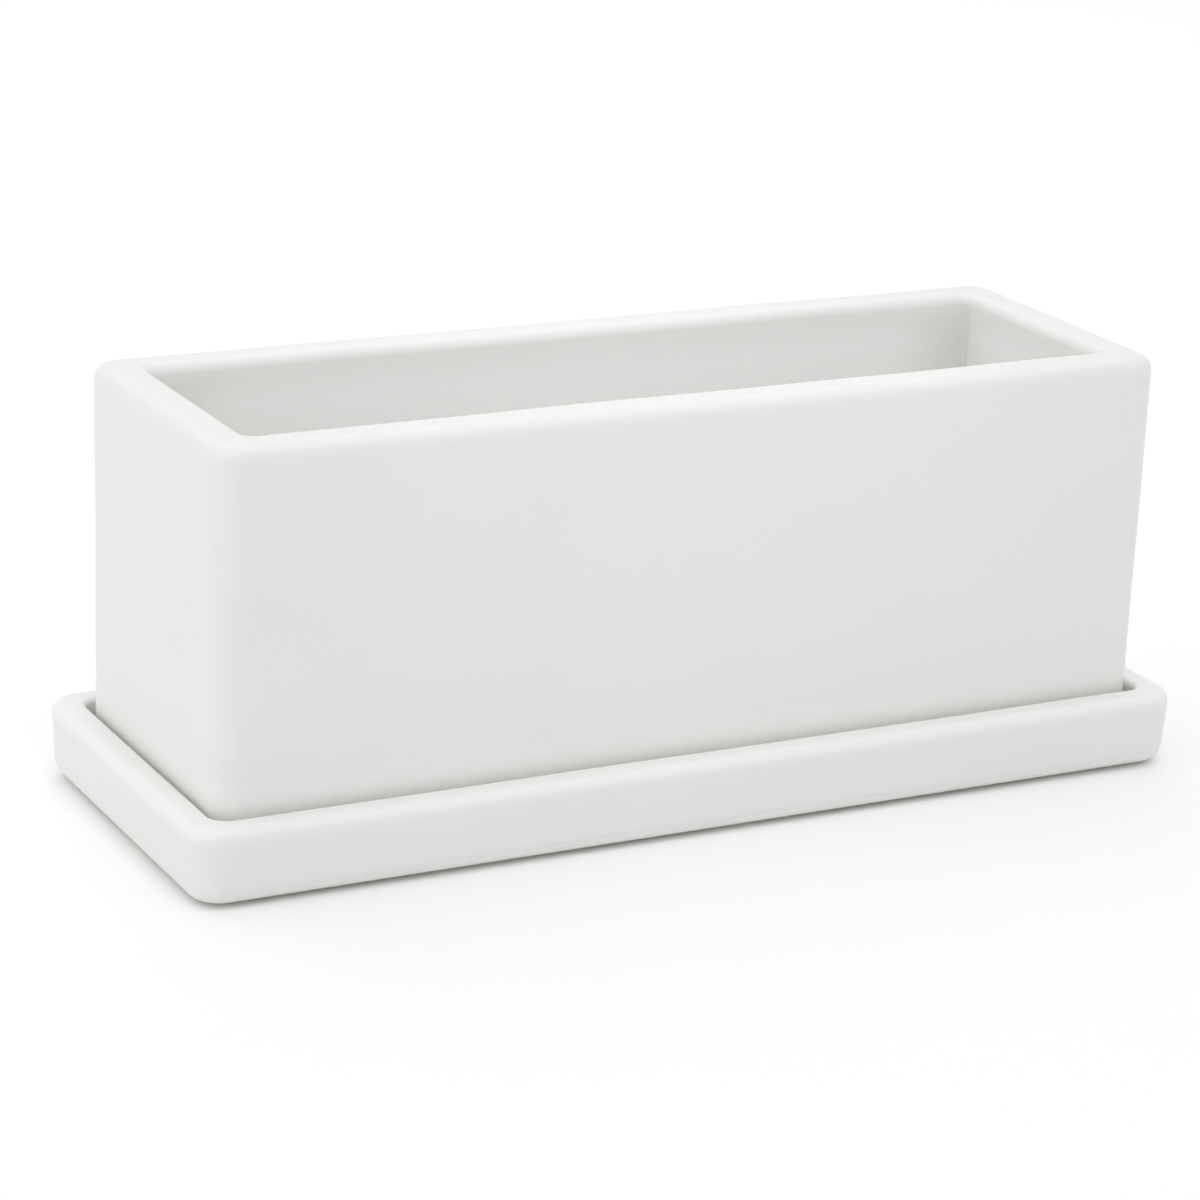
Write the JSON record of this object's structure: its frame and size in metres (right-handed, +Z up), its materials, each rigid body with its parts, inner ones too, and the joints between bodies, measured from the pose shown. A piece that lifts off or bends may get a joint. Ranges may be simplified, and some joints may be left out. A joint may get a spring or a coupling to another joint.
{
  "type": "indoor herb planter",
  "caption": "Long rectangular white glazed ceramic herb pot with mesh-covered drain holes, standing in a matching low saucer on rubber pads.",
  "frame": {"origin": "on the surface that the planter stands on, under the middle of the saucer", "axes": "+X along the trough's length, +Y from its front to its back, +Z up"},
  "size_m": [0.3196, 0.1216, 0.1265],
  "materials": {
    "white_glaze": "satin matte white glaze",
    "pad_rubber": "soft grey rubber",
    "screen_plastic": "matte moulded plastic mesh"
  },
  "bodies": {
    "saucer": {"saucer": "white_glaze", "saucer_pad_front_left": "pad_rubber", "saucer_pad_front_right": "pad_rubber", "saucer_pad_back_left": "pad_rubber", "saucer_pad_back_right": "pad_rubber"},
    "pot": {"pot": "white_glaze"},
    "screen_left": {"drain_screen_left": "screen_plastic"},
    "screen_middle": {"drain_screen_middle": "screen_plastic"},
    "screen_right": {"drain_screen_right": "screen_plastic"}
  },
  "joints": [
    {"name": "pot_lift", "type": "slide", "parent": "saucer", "child": "pot", "axis": [0, 0, 1], "range_m": [0, 0.15]},
    {"name": "screen_left_lift", "type": "slide", "parent": "pot", "child": "screen_left", "axis": [0, 0, 1], "range_m": [0, 0.13]},
    {"name": "screen_middle_lift", "type": "slide", "parent": "pot", "child": "screen_middle", "axis": [0, 0, 1], "range_m": [0, 0.13]},
    {"name": "screen_right_lift", "type": "slide", "parent": "pot", "child": "screen_right", "axis": [0, 0, 1], "range_m": [0, 0.13]}
  ]
}
